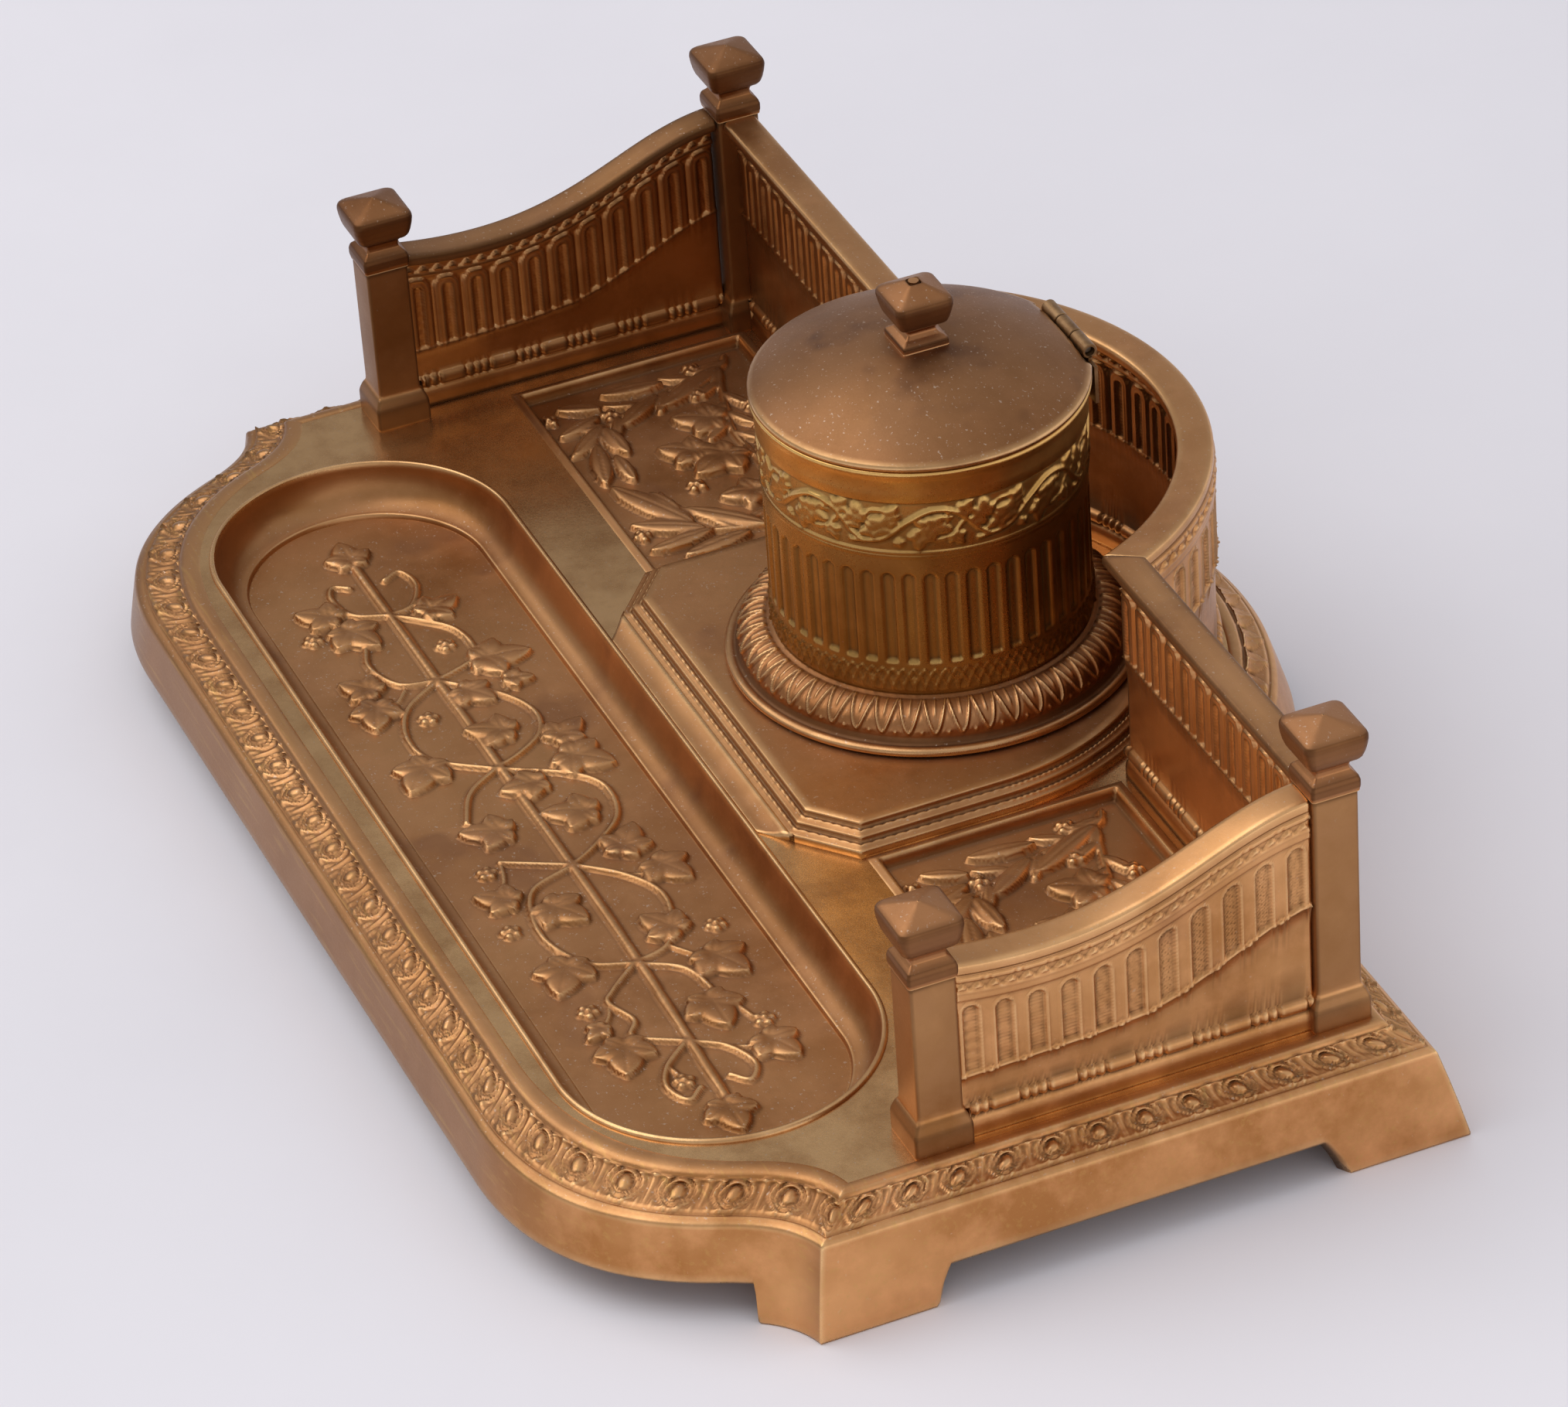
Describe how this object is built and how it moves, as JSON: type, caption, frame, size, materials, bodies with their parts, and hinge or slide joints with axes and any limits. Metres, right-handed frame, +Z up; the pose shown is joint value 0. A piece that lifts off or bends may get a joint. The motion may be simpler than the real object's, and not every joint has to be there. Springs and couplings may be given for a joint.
{
  "type": "desk inkstand",
  "caption": "Gilt-brass desk inkstand: footed base with a pen tray, a posted gallery with a curved bay, and a round inkwell with a hinged lid and a loose liner.",
  "frame": {"origin": "middle of the stand's outer box, on the table under the feet", "axes": "+X to the right along the length, -Y towards the pen tray and the writer, +Y towards the hinge and the curved back, +Z up"},
  "size_m": [0.3, 0.1986, 0.1093],
  "materials": {
    "gilt_brass": "satin gilt, dark in the recesses, worn bright on raised edges",
    "bare_brass": "dull bare brass",
    "steel": "plain turned steel",
    "liner_glass": "pressed clear glass"
  },
  "bodies": {
    "stand": {"base_shell": "gilt_brass", "pen_tray": "gilt_brass", "well_platform": "gilt_brass", "floor_plaque_left": "gilt_brass", "floor_plaque_right": "gilt_brass", "post_front_left": "gilt_brass", "post_front_right": "gilt_brass", "post_rear_left": "gilt_brass", "post_rear_right": "gilt_brass", "finial_front_left": "gilt_brass", "finial_front_right": "gilt_brass", "finial_rear_left": "gilt_brass", "finial_rear_right": "gilt_brass", "side_panel_left": "gilt_brass", "side_panel_right": "gilt_brass", "rear_gallery": "gilt_brass", "well_ring": "gilt_brass", "well_body": "gilt_brass", "well_liner": "liner_glass", "hinge_body_leaf": "bare_brass", "hinge_pin": "steel", "rods_front": "steel", "rods_rear": "steel", "post_nuts": "steel", "panel_screws": "steel", "flange_screws": "steel", "well_bolt": "steel", "well_washer": "steel", "well_nut": "steel"},
    "lid_group": {"lid": "gilt_brass", "lid_finial": "gilt_brass", "finial_rivet": "gilt_brass", "hinge_lid_leaf": "bare_brass"}
  },
  "joints": [
    {"name": "lid_hinge", "type": "hinge", "parent": "stand", "child": "lid_group", "pos_m": [0, 0.06242, 0.0894], "axis": [-1, 0, 0], "range_deg": [0, 105]}
  ]
}
